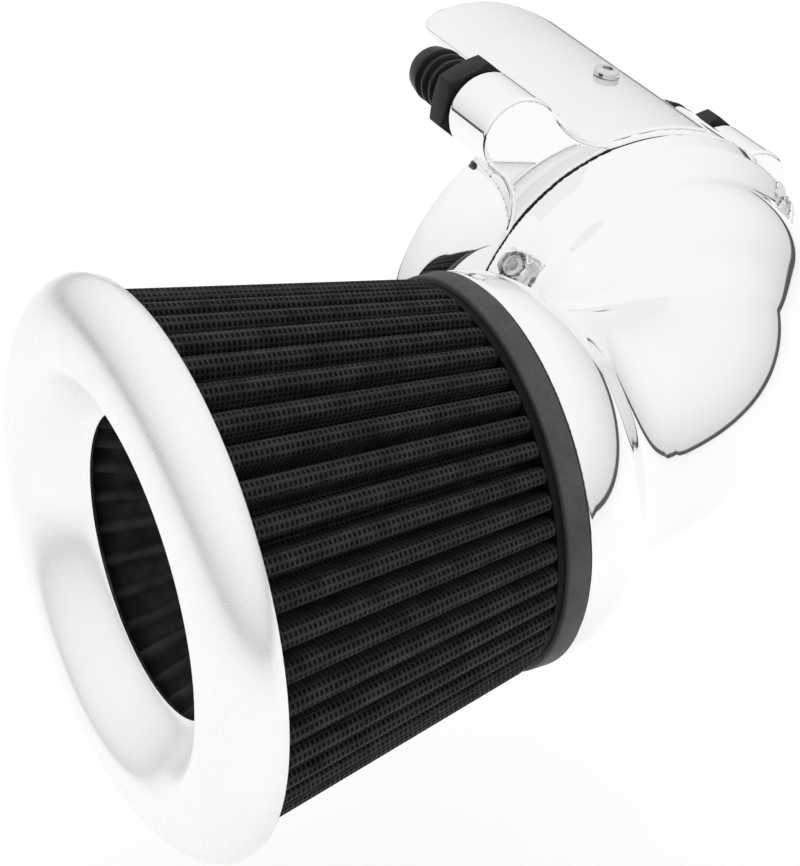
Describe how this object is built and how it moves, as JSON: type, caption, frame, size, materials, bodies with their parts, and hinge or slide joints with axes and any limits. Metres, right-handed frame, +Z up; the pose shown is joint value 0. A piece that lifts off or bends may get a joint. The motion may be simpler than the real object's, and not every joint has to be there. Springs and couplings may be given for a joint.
{
  "type": "cone air filter with intake elbow",
  "caption": "Black pleated cone air filter with a chrome bell-mouth trim ring, on a chrome ninety degree intake elbow and throttle manifold with hose barbs.",
  "frame": {"origin": "middle of the manifold's rear face, where it seats on the throttle body, on the throttle axis", "axes": "+Y into the throttle body, +Z up, -X towards the filter's open mouth"},
  "size_m": [0.2429, 0.2278, 0.1534],
  "materials": {
    "trim_chrome": "chrome plated, softly polished",
    "cast_chrome": "mirror polished chrome plate",
    "panel_chrome": "polished chrome plated sheet",
    "filter_media": "pleated black woven fabric",
    "potting": "moulded black urethane",
    "screen_steel": "perforated steel sheet",
    "base_rubber": "satin moulded rubber",
    "bracket_steel": "zinc plated steel",
    "seal_rubber": "matt black rubber",
    "fastener_steel": "bright stainless steel",
    "black_nylon": "satin black glass filled nylon"
  },
  "bodies": {
    "intake": {"elbow": "cast_chrome", "retaining_spider": "bracket_steel", "elbow_gasket": "seal_rubber", "flange_screws": "fastener_steel", "flange_screw_washers": "fastener_steel", "manifold": "cast_chrome", "throttle_seal": "seal_rubber", "throttle_screws": "fastener_steel", "throttle_screw_washers": "fastener_steel", "left_breather_fitting": "black_nylon", "right_breather_fitting": "black_nylon", "left_fitting_seal": "seal_rubber", "right_fitting_seal": "seal_rubber", "cover_panel": "panel_chrome", "cover_screw": "fastener_steel"},
    "filter": {"trim_ring": "trim_chrome", "front_end_ring": "potting", "outer_media": "filter_media", "inner_screen": "screen_steel", "inner_media": "filter_media", "inner_cone_screen": "screen_steel", "cone_end_cap": "potting", "retaining_bolt": "fastener_steel", "retaining_washer": "fastener_steel", "rear_end_ring": "potting", "rubber_base": "base_rubber"}
  },
  "joints": [
    {"name": "filter_slide", "type": "slide", "parent": "intake", "child": "filter", "axis": [-1, 0, 0], "range_m": [0, 0.06]}
  ]
}
